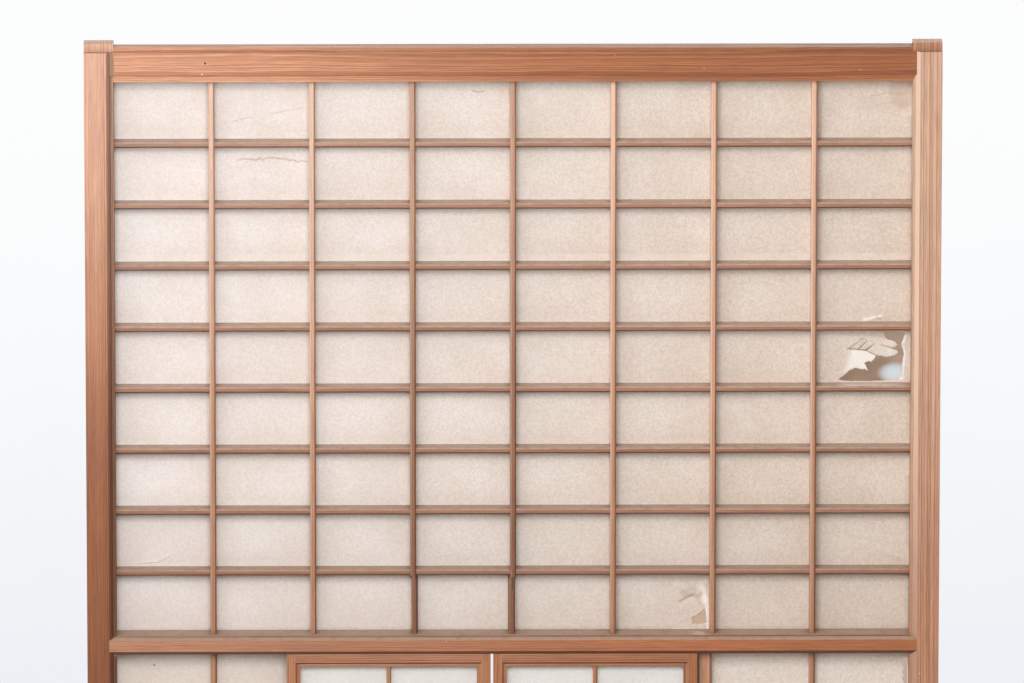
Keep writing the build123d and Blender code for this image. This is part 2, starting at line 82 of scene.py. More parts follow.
def calc(tree, operation, a, b=0.0, c=0.0, clamp=False):
    """The value of a sum, product or other operation."""
    return add(tree, "ShaderNodeMath", {0: a, 1: b, 2: c}, operation=operation,
               use_clamp=clamp).outputs[0]


def ramp(tree, value, low, high, to_low=0.0, to_high=1.0):
    """The value smoothly carried from one range to another, and held at its ends."""
    return add(tree, "ShaderNodeMapRange",
               {"Value": value, "From Min": low, "From Max": high, "To Min": to_low,
                "To Max": to_high},
               interpolation_type="SMOOTHSTEP").outputs["Result"]


def mix_colour(tree, factor, a, b, blend="MIX"):
    """Two colours mixed."""
    return add(tree, "ShaderNodeMix", {0: factor, 6: a, 7: b}, data_type="RGBA",
               blend_type=blend).outputs[2]


def flat_stage(name, corners, material):
    """A flat stage piece from its four corners, which isn't part of the screen."""
    bm = bmesh.new()
    bm.faces.new([bm.verts.new(corner) for corner in corners])
    mesh = bpy.data.meshes.new(name)
    bm.to_mesh(mesh)
    bm.free()
    made = bpy.data.objects.new(name, mesh)
    bpy.context.scene.collection.objects.link(made)
    mesh.materials.append(material)
    return made


floor_paint, tree = new_material("pale floor")
floor_place = add(tree, "ShaderNodeTexCoord").outputs["Object"]
grit = add(tree, "ShaderNodeTexNoise", {"Vector": floor_place, "Scale": 3.0, "Detail": 6.0})
floor_colour = mix_colour(tree, grit.outputs["Fac"], (0.80, 0.80, 0.81, 1), (0.86, 0.86, 0.86, 1))
paint = add(tree, "ShaderNodeBsdfPrincipled", {"Base Color": floor_colour, "Roughness": 0.7})
# The floor's far parts, which the lamps hardly reach, look pale too.
to_camera = add(tree, "ShaderNodeLightPath").outputs["Is Camera Ray"]
pale = add(tree, "ShaderNodeEmission", {
    "Color": (1.0, 1.0, 1.0, 1), "Strength": calc(tree, "MULTIPLY", to_camera, FLOOR_GLOW)})
finish_surface(tree, add(tree, "ShaderNodeAddShader", {
    0: paint.outputs["BSDF"], 1: pale.outputs["Emission"]}).outputs[0])

flat_stage("floor", [(-ROOM_HALF, -ROOM_HALF, 0), (ROOM_HALF, -ROOM_HALF, 0),
                     (ROOM_HALF, ROOM_HALF, 0), (-ROOM_HALF, ROOM_HALF, 0)], floor_paint)


def looked_at(tree):
    """1 where an eye, a mirror or glass looks at the surface, and 0 for other light."""
    rays = add(tree, "ShaderNodeLightPath").outputs
    return calc(tree, "MAXIMUM", rays["Is Camera Ray"], calc(
        tree, "MAXIMUM", rays["Is Glossy Ray"], rays["Is Transmission Ray"]))


def backdrop(name, colour_of):
    """Paint that only eyes and mirrors see, and only from its front: it takes no shadow."""
    made, tree = new_material(name)
    place = add(tree, "ShaderNodeTexCoord").outputs["Object"]
    seen = looked_at(tree)
    behind = add(tree, "ShaderNodeNewGeometry").outputs["Backfacing"]
    shown = calc(tree, "MULTIPLY", seen, calc(tree, "SUBTRACT", 1.0, behind))
    glow = add(tree, "ShaderNodeEmission", {"Color": colour_of(tree, place)})
    mixed = add(tree, "ShaderNodeMixShader", {
        0: shown, 1: add(tree, "ShaderNodeBsdfTransparent").outputs[0], 2: glow.outputs[0]})
    finish_surface(tree, mixed.outputs[0])
    return made


def oval(tree, parts, x, z, wide, high):
    """0 in the middle of an upright oval at a place in metres, 1 on its line, more outside."""
    across = calc(tree, "DIVIDE", calc(tree, "SUBTRACT", parts["X"], x), wide)
    up = calc(tree, "DIVIDE", calc(tree, "SUBTRACT", parts["Z"], z), high)
    return calc(tree, "ADD", calc(tree, "MULTIPLY", across, across), calc(
        tree, "MULTIPLY", up, up))


def limewash(tree, place):
    """White limewash, painted greyer lower down as shade where less light reaches it."""
    parts = add(tree, "ShaderNodeSeparateXYZ", {0: place}).outputs
    rough_cast = add(tree, "ShaderNodeTexNoise", {"Vector": place, "Scale": 9.0, "Detail": 6.0})
    height = calc(tree, "MULTIPLY_ADD", rough_cast.outputs["Fac"], 0.12, parts["Z"])
    return mix_colour(tree, ramp(tree, height, 0.9, 1.75), (0.84, 0.85, 0.90, 1),
                      (0.975, 0.98, 0.985, 1))


PAINTED_LIGHT_PATCH = {"x": 0.3915, "z": 1.4065, "wide": 0.0145, "high": 0.0095}
TAN_TOP = 1.22
WINDOW_TOP = 1.14
WINDOW_SIDE = 0.36


def painted_shade_behind(tree, place):
    """Painted shade of the dim brown room that shows through the tears, with a painted pool
    of light behind the large one, a tan shade behind the small one, and painted shadow in the
    gaps beside the window."""
    parts = add(tree, "ShaderNodeSeparateXYZ", {0: place}).outputs
    cloud = add(tree, "ShaderNodeTexNoise", {"Vector": place, "Scale": 30.0, "Detail": 2.0})
    brown = mix_colour(tree, ramp(tree, cloud.outputs["Fac"], 0.35, 0.65), (0.30, 0.20, 0.14, 1),
                       (0.42, 0.30, 0.22, 1))
    off = oval(tree, parts, **PAINTED_LIGHT_PATCH)
    pale = mix_colour(tree, ramp(tree, off, 1.9, 0.0), brown, (0.66, 0.70, 0.73, 1))
    tan = ramp(tree, parts["Z"], TAN_TOP, TAN_TOP - 0.02)
    pale = mix_colour(tree, tan, pale, (0.58, 0.40, 0.28, 1))
    side = calc(tree, "ABSOLUTE", parts["X"])
    # Painted shadow in the gaps beside the window.
    gaps = mix_colour(tree, ramp(tree, side, WINDOW_SIDE, WINDOW_SIDE + 0.02),
                      (0.09, 0.05, 0.035, 1), (0.52, 0.40, 0.31, 1))
    return mix_colour(tree, ramp(tree, parts["Z"], WINDOW_TOP, WINDOW_TOP - 0.015), pale, gaps)


backdrop_y = SCREEN_BACK + BACKDROP_GAP
flat_stage("wall", [(-ROOM_HALF, backdrop_y, 0), (ROOM_HALF, backdrop_y, 0),
                    (ROOM_HALF, backdrop_y, BACKDROP_HIGH),
                    (-ROOM_HALF, backdrop_y, BACKDROP_HIGH)], backdrop("white wall", limewash))
# Planes that glow with painted shade and a painted pool of light, where the tears and the window's
# edges show what lies behind.
painted_shade_backdrop = backdrop("painted shade behind the tears", painted_shade_behind)
room_y = SCREEN_BACK + 0.001
for part, x0, x1, z0, z1 in (("above", -0.41, 0.41, 1.13, 1.73),
                             ("left", -0.41, -0.186, 0.66, 1.12),
                             ("right", 0.186, 0.41, 0.66, 1.12)):
    flat_stage(f"painted shade behind, {part}", [(x0, room_y, z0), (x1, room_y, z0), (x1, room_y, z1),
                                        (x0, room_y, z1)], painted_shade_backdrop)

world = bpy.data.worlds.new("studio")
bpy.context.scene.world = world
world.use_nodes = True
tree = world.node_tree
tree.nodes.clear()
room_light = add(tree, "ShaderNodeBackground", {"Color": (1.0, 0.88, 0.78, 1), "Strength": 0.28})
room_view = add(tree, "ShaderNodeBackground", {"Color": (0.97, 0.975, 0.985, 1), "Strength": 1.0})
sky = add(tree, "ShaderNodeMixShader", {
    0: looked_at(tree), 1: room_light.outputs[0], 2: room_view.outputs[0]})
out = add(tree, "ShaderNodeOutputWorld")
tree.links.new(sky.outputs[0], out.inputs["Surface"])


def soft_lamp(name, place, target, size, power, colour):
    """A square soft lamp that looks at a point."""
    lamp = bpy.data.lights.new(name, "AREA")
    lamp.shape = "SQUARE"
    lamp.size = size
    lamp.energy = power
    lamp.color = colour
    made = bpy.data.objects.new(name, lamp)
    made.location = place
    made.rotation_mode = "QUATERNION"
    made.rotation_quaternion = (Vector(target) - Vector(place)).to_track_quat("-Z", "Y")
    bpy.context.scene.collection.objects.link(made)


soft_lamp("window light", (-1.20, -2.25, 2.75), (0, 0, 1.45), 2.5, 19, (0.99, 1.01, 1.02))
soft_lamp("light from the front", (-0.15, -3.0, 2.70), (0, 0, 1.45), 1.4, 75, (1.0, 1.0, 0.99))
soft_lamp("light from behind", (0.6, 3.0, 2.6), (0, 0, 1.1), 2.0, 60, (1.0, 0.99, 0.98))

camera = bpy.data.cameras.new("camera")
camera.lens = CAMERA_LENS
camera.sensor_width = 36
camera.clip_end = 100
camera_object = bpy.data.objects.new("camera", camera)
yaw, pitch, roll = (math.radians(v) for v in (CAMERA_YAW, CAMERA_PITCH, CAMERA_ROLL))
turn_yaw = Matrix(((math.cos(yaw), math.sin(yaw), 0), (-math.sin(yaw), math.cos(yaw), 0),
                   (0, 0, 1)))
turn_pitch = Matrix(((1, 0, 0), (0, math.cos(pitch), math.sin(pitch)),
                     (0, -math.sin(pitch), math.cos(pitch))))
turn_roll = Matrix(((math.cos(roll), 0, math.sin(roll)), (0, 1, 0),
                    (-math.sin(roll), 0, math.cos(roll))))
right, ahead, up = turn_roll @ turn_pitch @ turn_yaw
camera_object.matrix_world = Matrix.Translation(CAMERA_AT) @ Matrix(
    (right, up, -ahead)).transposed().to_4x4()
bpy.context.scene.collection.objects.link(camera_object)
bpy.context.scene.camera = camera_object
bpy.context.scene.view_settings.view_transform = "Standard"

# The stiles. Each is one length of old red cedar, straight in the grain, with a moulded
# inner edge and a horn above the head. The wood is bleached and dusty near the top, with
# a painted sheen towards the upper left where the light falls, and its arrises are worn
# pale. Its sides that look left carry painted light, and its sides that look right or down
# and its recess carry painted shade.


def new_group(name, inputs, outputs):
    """A shader node group with its sockets, and its input and output nodes."""
    group = bpy.data.node_groups.new(name, "ShaderNodeTree")
    for kind, sockets in (("INPUT", inputs), ("OUTPUT", outputs)):
        for socket, form in sockets:
            group.interface.new_socket(socket, in_out=kind, socket_type=form)
    return group, add(group, "NodeGroupInput").outputs, add(group, "NodeGroupOutput").inputs


def use_group(tree, group, inputs):
    """A group placed in a material with its own values."""
    return add(tree, "ShaderNodeGroup", inputs, node_tree=group).outputs


# Growth rings round a heart at the vector's origin, in millimetres, grain along Z.
cedar_grain, given, gives = new_group(
    "cedar grain",
    [("Vector", "NodeSocketVector"), ("Ring width", "NodeSocketFloat"),
     ("Waver", "NodeSocketFloat")],
    [("Late wood", "NodeSocketFloat"), ("Fibre", "NodeSocketFloat"), ("Tone", "NodeSocketFloat")])
tree = cedar_grain
slow = add(tree, "ShaderNodeMapping", {"Vector": given["Vector"], "Scale": (0.02, 0.02, 0.0028)})
waver = add(tree, "ShaderNodeTexNoise", {"Vector": slow.outputs[0], "Scale": 1.0, "Detail": 3.0})
across = add(tree, "ShaderNodeVectorMath", {0: given["Vector"], 1: (1, 1, 0)},
             operation="MULTIPLY")
radius = add(tree, "ShaderNodeVectorMath", {0: across.outputs[0]},
             operation="LENGTH").outputs["Value"]
radius = calc(tree, "MULTIPLY_ADD", calc(tree, "SUBTRACT", waver.outputs["Fac"], 0.5),
              given["Waver"], radius)
years = calc(tree, "DIVIDE", radius, given["Ring width"])
spacing = add(tree, "ShaderNodeTexNoise", {"W": calc(tree, "MULTIPLY", years, 0.35), "Scale": 1.0,
                                           "Detail": 1.0}, noise_dimensions="1D")
years = calc(tree, "MULTIPLY_ADD", spacing.outputs["Fac"], 3.0, years)
season = calc(tree, "FRACT", years)
late = calc(tree, "MULTIPLY", ramp(tree, season, 0.25, 0.82), ramp(tree, season, 1.0, 0.9))
strength = add(tree, "ShaderNodeTexWhiteNoise", {"W": calc(tree, "FLOOR", years)},
               noise_dimensions="1D").outputs["Value"]
late = calc(tree, "MULTIPLY", late, ramp(tree, strength, 0.0, 1.0, 0.35, 1.0))
tree.links.new(late, gives["Late wood"])
thin = add(tree, "ShaderNodeMapping", {"Vector": given["Vector"], "Scale": (2.2, 2.2, 0.035)})
fibre = add(tree, "ShaderNodeTexNoise", {"Vector": thin.outputs[0], "Scale": 1.0, "Detail": 3.0,
                                         "Roughness": 0.6})
tree.links.new(fibre.outputs["Fac"], gives["Fibre"])
broad = add(tree, "ShaderNodeMapping", {"Vector": given["Vector"], "Scale": (0.05, 0.05, 0.006)})
tone = add(tree, "ShaderNodeTexNoise", {"Vector": broad.outputs[0], "Scale": 1.0, "Detail": 4.0})
tree.links.new(tone.outputs["Fac"], gives["Tone"])

# Dust that settles on faces that look up, thin at their rubbed front edges.
settled_dust, given, gives = new_group(
    "settled dust", [("Vector", "NodeSocketVector"), ("Amount", "NodeSocketFloat")],
    [("Mask", "NodeSocketFloat")])
tree = settled_dust
facing = add(tree, "ShaderNodeSeparateXYZ",
             {0: add(tree, "ShaderNodeNewGeometry").outputs["Normal"]}).outputs["Z"]
drift = add(tree, "ShaderNodeTexNoise", {"Vector": given["Vector"], "Scale": 0.12, "Detail": 6.0,
                                         "Roughness": 0.65})
speck = add(tree, "ShaderNodeTexNoise", {"Vector": given["Vector"], "Scale": 0.9, "Detail": 2.0})
lying = ramp(tree, facing, 0.42, 0.88)
patch = calc(tree, "ADD", ramp(tree, drift.outputs["Fac"], 0.3, 0.62, 0.45, 0.9),
             ramp(tree, speck.outputs["Fac"], 0.55, 0.75, 0.0, 0.25))
tree.links.new(calc(tree, "MULTIPLY", calc(tree, "MULTIPLY", lying, patch), given["Amount"],
                    clamp=True), gives["Mask"])

# Arrises rubbed round and pale: where a rounded normal turns away from the flat one.
worn_arris, given, gives = new_group(
    "worn arris", [("Vector", "NodeSocketVector"), ("Round", "NodeSocketFloat"),
                   ("Amount", "NodeSocketFloat")],
    [("Mask", "NodeSocketFloat"), ("Normal", "NodeSocketVector")])
tree = worn_arris
soft = add(tree, "ShaderNodeBevel", {"Radius": given["Round"]}, samples=2)
flat = add(tree, "ShaderNodeNewGeometry").outputs["Normal"]
turned = add(tree, "ShaderNodeVectorMath", {0: soft.outputs[0], 1: flat}, operation="DOT_PRODUCT")
edge = ramp(tree, turned.outputs["Value"], 0.995, 0.86)
rub = add(tree, "ShaderNodeTexNoise", {"Vector": given["Vector"], "Scale": 0.08, "Detail": 5.0})
edge = calc(tree, "MULTIPLY", edge, ramp(tree, rub.outputs["Fac"], 0.35, 0.6, 0.25, 1.0))
tree.links.new(calc(tree, "MULTIPLY", edge, given["Amount"], clamp=True), gives["Mask"])
tree.links.new(soft.outputs[0], gives["Normal"])

# Darkening in inner corners, where less light reaches: partly painted shade, partly grime
# that hands and cloths don't reach.
corner_shade_and_grime, given, gives = new_group(
    "corner shade and grime", [("Vector", "NodeSocketVector"), ("Reach", "NodeSocketFloat")],
    [("Mask", "NodeSocketFloat")])
tree = corner_shade_and_grime
hidden = add(tree, "ShaderNodeAmbientOcclusion", {"Distance": given["Reach"]}, samples=2)
uneven = add(tree, "ShaderNodeTexNoise", {"Vector": given["Vector"], "Scale": 0.07, "Detail": 4.0})
tree.links.new(calc(tree, "MULTIPLY", ramp(tree, hidden.outputs["AO"], 0.78, 0.35),
                    ramp(tree, uneven.outputs["Fac"], 0.3, 0.7, 0.55, 1.0)), gives["Mask"])

# Pale flecks of lime and paste left on the wood, about a millimetre wide.
lime_flecks, given, gives = new_group(
    "lime flecks", [("Vector", "NodeSocketVector")], [("Mask", "NodeSocketFloat")])
tree = lime_flecks
cells = add(tree, "ShaderNodeTexVoronoi", {"Vector": given["Vector"], "Scale": 0.045})
chosen = add(tree, "ShaderNodeSeparateColor", {0: cells.outputs["Color"]}).outputs[0]
some = ramp(tree, chosen, 0.55, 0.9)
tree.links.new(calc(tree, "MULTIPLY", some, ramp(tree, cells.outputs["Distance"], 0.05, 0.02)),
               gives["Mask"])


def spot(tree, parts, x, z, wide, high):
    """A small soft-edged spot at a place on the front, in metres."""
    return ramp(tree, oval(tree, parts, x, z, wide, high), 1.3, 0.5)


def grey_level(tree, value):
    """A colour of one value in all three parts."""
    return add(tree, "ShaderNodeCombineColor", {0: value, 1: value, 2: value}).outputs[0]


def tinted(tree, colour, tint):
    """A colour multiplied by another one."""
    return mix_colour(tree, 1.0, colour, tint, "MULTIPLY")


def object_place(tree):
    """Object coordinates in metres, and the same in millimetres."""
    place = add(tree, "ShaderNodeTexCoord").outputs["Object"]
    mm = add(tree, "ShaderNodeVectorMath", {0: place, 3: 1000.0}, operation="SCALE")
    return place, mm.outputs[0]


HORN_LINE = 1.7482
RECESS_Y = -0.0152, -0.0128
BLEACHED_AND_SHEEN = (1.6, 2.25, 2.9, 1)
WORN_PALE = (0.74, 0.47, 0.33, 1)
PAINTED_LIGHT_SIDE = (0.86, 0.64, 0.51, 1)
DUST_LOW, DUST_HIGH = (0.45, 0.32, 0.25, 1), (0.55, 0.41, 0.33, 1)
GRIME_AND_SHADE = (0.16, 0.085, 0.05, 1)
LIME = (0.80, 0.68, 0.60, 1)


def sawn_cedar(tree, grain, early, late_colour, lines):
    """The wood's own colour, with its rings and its streaks of fibre."""
    colour = mix_colour(tree, ramp(tree, grain["Tone"], 0.3, 0.7), early, tuple(
        0.84 * c for c in early[:3]) + (1,))
    colour = mix_colour(tree, calc(tree, "MULTIPLY", grain["Late wood"], lines), colour,
                        late_colour)
    streak = ramp(tree, grain["Fibre"], 0.35, 0.68, 1.12, 0.80)
    return tinted(tree, colour, grey_level(tree, streak))


def weathered_and_painted_light(tree, colour, parts, bleach_and_sheen, shade, shade_low, shade_high):
    """Wood bleached towards its upper left, with a painted sheen there from the light at the
    upper left, and carried from one tone to another along an axis, between two places on it:
    partly the wood's own ageing, partly painted light that falls off away from the upper left."""
    height = ramp(tree, parts["Z"], 1.30, 1.76)
    side = ramp(tree, parts["X"], 0.55, -0.5)
    faded_and_sheen = calc(tree, "MULTIPLY", calc(tree, "MULTIPLY", height, side), bleach_and_sheen, clamp=True)
    colour = tinted(tree, colour, mix_colour(
        tree, calc(tree, "MULTIPLY", faded_and_sheen, 0.8), (1, 1, 1, 1), BLEACHED_AND_SHEEN))
    axis, low, high = shade
    return tinted(tree, colour, mix_colour(
        tree, ramp(tree, parts[axis], low, high), shade_low + (1,), shade_high + (1,)))


def shaded(tree, colour, parts, sunny, shady, recess, horn):
    """Wood with painted light on its sides that look left, painted shade on those that look
    right or down and in its recess behind the front, and its horn tinted."""
    facing = add(tree, "ShaderNodeSeparateXYZ",
                 {0: add(tree, "ShaderNodeNewGeometry").outputs["Normal"]}).outputs
    # Painted light on faces that look left, towards the window light, stronger higher up.
    sun = calc(tree, "MULTIPLY", ramp(tree, facing["X"], -0.3, -0.75),
               ramp(tree, parts["Z"], 1.10, 1.50, 0.3 * sunny, sunny))
    colour = mix_colour(tree, sun, colour, PAINTED_LIGHT_SIDE)
    # Painted shade on faces that look right or down, and in the recess behind the front.
    away = calc(tree, "MULTIPLY", ramp(tree, facing["X"], 0.3, 0.8, 1.0, 1.0 - shady),
                ramp(tree, facing["Z"], -0.3, -0.7, 1.0, 0.42))
    below_horn = ramp(tree, parts["Z"], HORN_LINE + 0.0005, HORN_LINE)
    recess_shade = calc(tree, "SUBTRACT", 1.0, calc(
        tree, "MULTIPLY", ramp(tree, parts["Y"], *RECESS_Y, 0.0, 1.0 - recess), below_horn))
    colour = tinted(tree, colour, grey_level(tree, calc(tree, "MULTIPLY", away, recess_shade)))
    return mix_colour(tree, calc(tree, "SUBTRACT", 1.0, below_horn), colour,
                      tinted(tree, colour, horn + (1,)))


def soiled_and_shaded(tree, colour, mm, parts, dust):
    """Wood with dust on its faces that look up, painted shade with some grime in its inner
    corners, and flecks of lime.
    """
    settled = use_group(tree, settled_dust, {"Vector": mm, "Amount": dust})
    colour = mix_colour(tree, settled["Mask"], colour, mix_colour(
        tree, ramp(tree, parts["Z"], 1.15, 1.45), DUST_LOW, DUST_HIGH))
    # Painted shade, with some grime, in inner corners where ambient light is hidden.
    shade_in_corners = use_group(tree, corner_shade_and_grime, {"Vector": mm, "Reach": 0.007})
    colour = mix_colour(tree, calc(tree, "MULTIPLY", shade_in_corners["Mask"], 0.62), colour, GRIME_AND_SHADE)
    flecks = use_group(tree, lime_flecks, {"Vector": mm})
    return mix_colour(tree, calc(tree, "MULTIPLY", flecks["Mask"], 0.7), colour, LIME)


def cedar(name, along, heart, early, late_colour, ring=1.8, waver=6.0, dust=1.0, worn=0.6,
          bleach_and_sheen=0.5, lines=0.8, shade=("Z", 1.1, 1.6), shade_low=(1, 1, 1),
          shade_high=(1, 1, 1), sunny=0.6, shady=0.45, recess=1.0, horn=(1, 1, 1), marks=()):
    """Old cedar with its grain along X or Z, and its heart at a place in millimetres. Its
    marks are soft-edged spots at places on the front, in metres."""
    made, tree = new_material(name)
    place, mm = object_place(tree)
    parts = add(tree, "ShaderNodeSeparateXYZ", {0: place}).outputs
    turn = (0, math.radians(-90), 0) if along == "X" else (0, 0, 0)
    moved = add(tree, "ShaderNodeVectorMath", {0: mm, 1: heart}, operation="SUBTRACT").outputs[0]
    grain_place = add(tree, "ShaderNodeMapping", {"Vector": moved, "Rotation": turn}).outputs[0]
    grain = use_group(tree, cedar_grain, {"Vector": grain_place, "Ring width": ring,
                                          "Waver": waver})
    colour = sawn_cedar(tree, grain, early, late_colour, lines)
    colour = weathered_and_painted_light(tree, colour, parts, bleach_and_sheen, shade, shade_low, shade_high)
    rubbed = use_group(tree, worn_arris, {"Vector": mm, "Round": 0.0007, "Amount": worn})
    colour = mix_colour(tree, rubbed["Mask"], colour, WORN_PALE)
    colour = shaded(tree, colour, parts, sunny, shady, recess, horn)
    colour = soiled_and_shaded(tree, colour, mm, parts, dust)
    for x, z, wide, high, mark_colour in marks:
        colour = mix_colour(tree, spot(tree, parts, x, z, wide, high), colour, mark_colour)
    relief = calc(tree, "MULTIPLY_ADD", grain["Late wood"], 0.5, grain["Fibre"])
    bump = add(tree, "ShaderNodeBump", {"Height": relief, "Normal": rubbed["Normal"],
                                        "Strength": 0.35, "Distance": 0.0003})
    rough = ramp(tree, grain["Fibre"], 0.3, 0.7, 0.56, 0.72)
    skin = add(tree, "ShaderNodeBsdfPrincipled", {
        "Base Color": colour, "Roughness": rough, "Normal": bump.outputs[0]})
    skin.inputs["Specular IOR Level"].default_value = 0.35
    finish_surface(tree, skin.outputs["BSDF"])
    return made


def dress(material, *names):
    """Gives CAD nodes a material, by their names."""
    for name in names:
        for held in wood[name].material_slots:
            held.material = material


left_stile_cedar = cedar(
    "left stile cedar", "Z", (900, 40, 0), (0.60, 0.29, 0.17, 1), (0.36, 0.135, 0.07, 1), ring=1.9,
    waver=5.0, dust=0.2, worn=0.35, shade=("Z", 1.12, 1.78), shade_low=(0.475, 0.35, 0.26),
    shade_high=(1.10, 1.12, 1.17), recess=0.55)
right_stile_cedar = cedar(
    "right stile cedar", "Z", (-900, 60, 0), (0.60, 0.29, 0.17, 1), (0.31, 0.11, 0.055, 1),
    ring=2.0, waver=4.0, dust=0.2, lines=1.0, shade_low=(0.84, 0.87, 0.90),
    shade_high=(1.11, 1.43, 1.70), sunny=0.9, horn=(0.78, 0.62, 0.52))
dress(left_stile_cedar, "left_stile")
dress(right_stile_cedar, "right_stile")

# The rails, of the same cedar, tenoned into the stiles. The top rail lies a little behind
# them, with a stepped band below it and an old nail near its left end. The middle rails
# are flush with the stiles and grooved for the small screens, and dust lies on them.
NAIL, CHIP, PALE = (0.05, 0.035, 0.03, 1), (0.10, 0.05, 0.03, 1), (0.80, 0.62, 0.50, 1)
# The top rail's last mark is a painted shadow that the left stile casts on the rail's left end.
top_cedar = cedar(
    "top rail cedar", "X", (0, 60, 1500), (0.58, 0.265, 0.145, 1), (0.34, 0.125, 0.06, 1),
    ring=3.2, waver=16.0, dust=0.1, lines=0.9, shade=("X", -0.42, 0.1),
    shade_low=(1.14, 1.07, 1.05), shade_high=(0.67, 0.52, 0.385),
    marks=((-0.3136, 1.7372, 0.0011, 0.0012, NAIL), (-0.3168, 1.7258, 0.0011, 0.0007, PALE),
           (-0.4115, 1.735, 0.0055, 0.022, (0.33, 0.19, 0.12, 1))))
rail_cedar = cedar(
    "rail cedar", "X", (0, 50, 700), (0.50, 0.225, 0.12, 1), (0.33, 0.12, 0.06, 1), ring=2.6,
    waver=12.0, dust=1.3, bleach_and_sheen=0.2, shade=("X", -0.42, 0.25), shade_low=(1.0, 1.08, 1.22),
    shade_high=(0.86, 0.70, 0.57), recess=0.8, marks=((-0.187, 1.1172, 0.0030, 0.0012, CHIP),))
dress(top_cedar, "top_rail")
dress(rail_cedar, "upper_middle_rail", "lower_middle_rail", "bottom_rail")

# The fixed posts beside the window. They are of the same cedar as the rails, and are
# tenoned into the two middle rails.
post_cedar = cedar(
    "post cedar", "Z", (700, 90, 0), (0.60, 0.31, 0.19, 1), (0.30, 0.11, 0.055, 1), ring=1.9,
    waver=6.0, bleach_and_sheen=0.2)
dress(post_cedar, "left_post", "right_post")

# The lattice. Its bars are thin straight cedar, half-lapped where they cross and stub
# tenoned into the frame, with their front edges taken off. Dust lies on the crossbars.
upright_cedar = cedar(
    "upright cedar", "Z", (640, 300, 0), (0.56, 0.27, 0.16, 1), (0.38, 0.15, 0.08, 1), ring=1.5,
    waver=4.0, shade=("Z", 1.15, 1.75), shade_low=(0.84, 0.80, 0.75),
    shade_high=(1.42, 1.65, 1.85), sunny=0.8, shady=0.5)
crossbar_cedar = cedar(
    "crossbar cedar", "X", (0, 300, 600), (0.52, 0.26, 0.165, 1), (0.36, 0.15, 0.09, 1), ring=1.5,
    waver=4.0, dust=1.3, shade_low=(0.72, 0.70, 0.68), shade_high=(0.76, 0.74, 0.72), worn=0.12)
for name in wood:
    if name.endswith("upright") or "_upright_" in name:
        dress(upright_cedar, name)
    if "crossbar" in name:
        dress(crossbar_cedar, name)

# Two uprights are cracked and twisted in their lowest stretch, under the last crossbar.
# Their meshes are those of the whole bars, cut across and turned about their own length.
CRACK_Z, FOOT_Z = 1.1986, 1.1372
TURN_DEPTH = 0.006
broken_cedar = cedar(
    "broken upright cedar", "Z", (640, 300, 0), (0.50, 0.23, 0.13, 1), (0.30, 0.11, 0.055, 1),
    ring=1.5, waver=4.0, shade=("Z", 1.15, 1.75), shade_low=(0.55, 0.50, 0.45),
    shade_high=(1.12, 1.25, 1.35), sunny=0.35, shady=0.5,
    marks=((0.0008, 1.1965, 0.0032, 0.0013, CHIP), (-0.0004, 1.190, 0.0009, 0.006, CHIP),
           (-0.1050, 1.1985, 0.0016, 0.0016, CHIP)))


def new_piece(name, bm, material):
    """An object from a finished bmesh, given its material and carried by the screen."""
    mesh = bpy.data.meshes.new(name)
    bm.to_mesh(mesh)
    bm.free()
    mesh.materials.append(material)
    made = bpy.data.objects.new(name, mesh)
    bpy.context.scene.collection.objects.link(made)
    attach(made, "screen")
    return made


def smooth(value, low, high):
    """0 below the low value, 1 above the high one, and smooth between them."""
    t = max(0.0, min(1.0, (value - low) / (high - low)))
    return t * t * (3 - 2 * t)


def broken_upright(name, new_name, turn, lean):
    """An upright whose foot, below the last crossbar, is twisted and pushed aside."""
    bm = bmesh.new()
    bm.from_mesh(wood[name].data)
    bmesh.ops.transform(bm, matrix=wood[name].matrix_world, verts=bm.verts)
    bmesh.ops.remove_doubles(bm, verts=bm.verts, dist=1e-6)
    for z in [1.1985 - 0.004 * i for i in range(16)] + [1.1972, 1.1958, 1.1385, FOOT_Z]:
        bmesh.ops.bisect_plane(bm, geom=bm.verts[:] + bm.edges[:] + bm.faces[:], dist=1e-6,
                               plane_co=(0, 0, z), plane_no=(0, 0, 1))
    middle = sum(v.co.x for v in bm.verts) / len(bm.verts)
    front = min(v.co.y for v in bm.verts)
    back = max(v.co.y for v in bm.verts)
    for v in bm.verts:
        fall = smooth(v.co.z, CRACK_Z, 1.1935) * smooth(v.co.z, FOOT_Z, 1.1385)
        angle = math.radians(turn) * fall
        x, y = v.co.x - middle, v.co.y - front - TURN_DEPTH
        v.co.x = middle + x * math.cos(angle) - y * math.sin(angle) * 0.3 + lean * fall
        v.co.y = min(front + TURN_DEPTH + x * math.sin(angle) * 0.8 + y * math.cos(angle), back)
    made = new_piece(new_name, bm, broken_cedar)
    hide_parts(name)


broken_upright("upper_upright_4", "upper_upright_4_cracked", 12, -0.0013)
broken_upright("upper_upright_3", "upper_upright_3_cracked", -8, 0.0013)

# The paper, pasted on the back of the lattice. It is old, gone from white to straw, and
# full of short fibres.
washi_fibres, given, gives = new_group(
    "paper fibres", [("Vector", "NodeSocketVector")],
    [("Fleck", "NodeSocketFloat"), ("Fibre", "NodeSocketFloat"), ("Cloud", "NodeSocketFloat")])
tree = washi_fibres
fleck = add(tree, "ShaderNodeTexNoise", {"Vector": given["Vector"], "Scale": 0.32, "Detail": 4.0,
                                         "Roughness": 0.75})
grit = add(tree, "ShaderNodeTexNoise", {"Vector": given["Vector"], "Scale": 0.9, "Detail": 2.0})
tree.links.new(calc(tree, "MULTIPLY_ADD", grit.outputs["Fac"], 0.45, calc(
    tree, "MULTIPLY", fleck.outputs["Fac"], 0.55)), gives["Fleck"])
strand = add(tree, "ShaderNodeTexNoise", {"Vector": given["Vector"], "Scale": 0.16, "Detail": 2.0,
                                          "Distortion": 2.5})
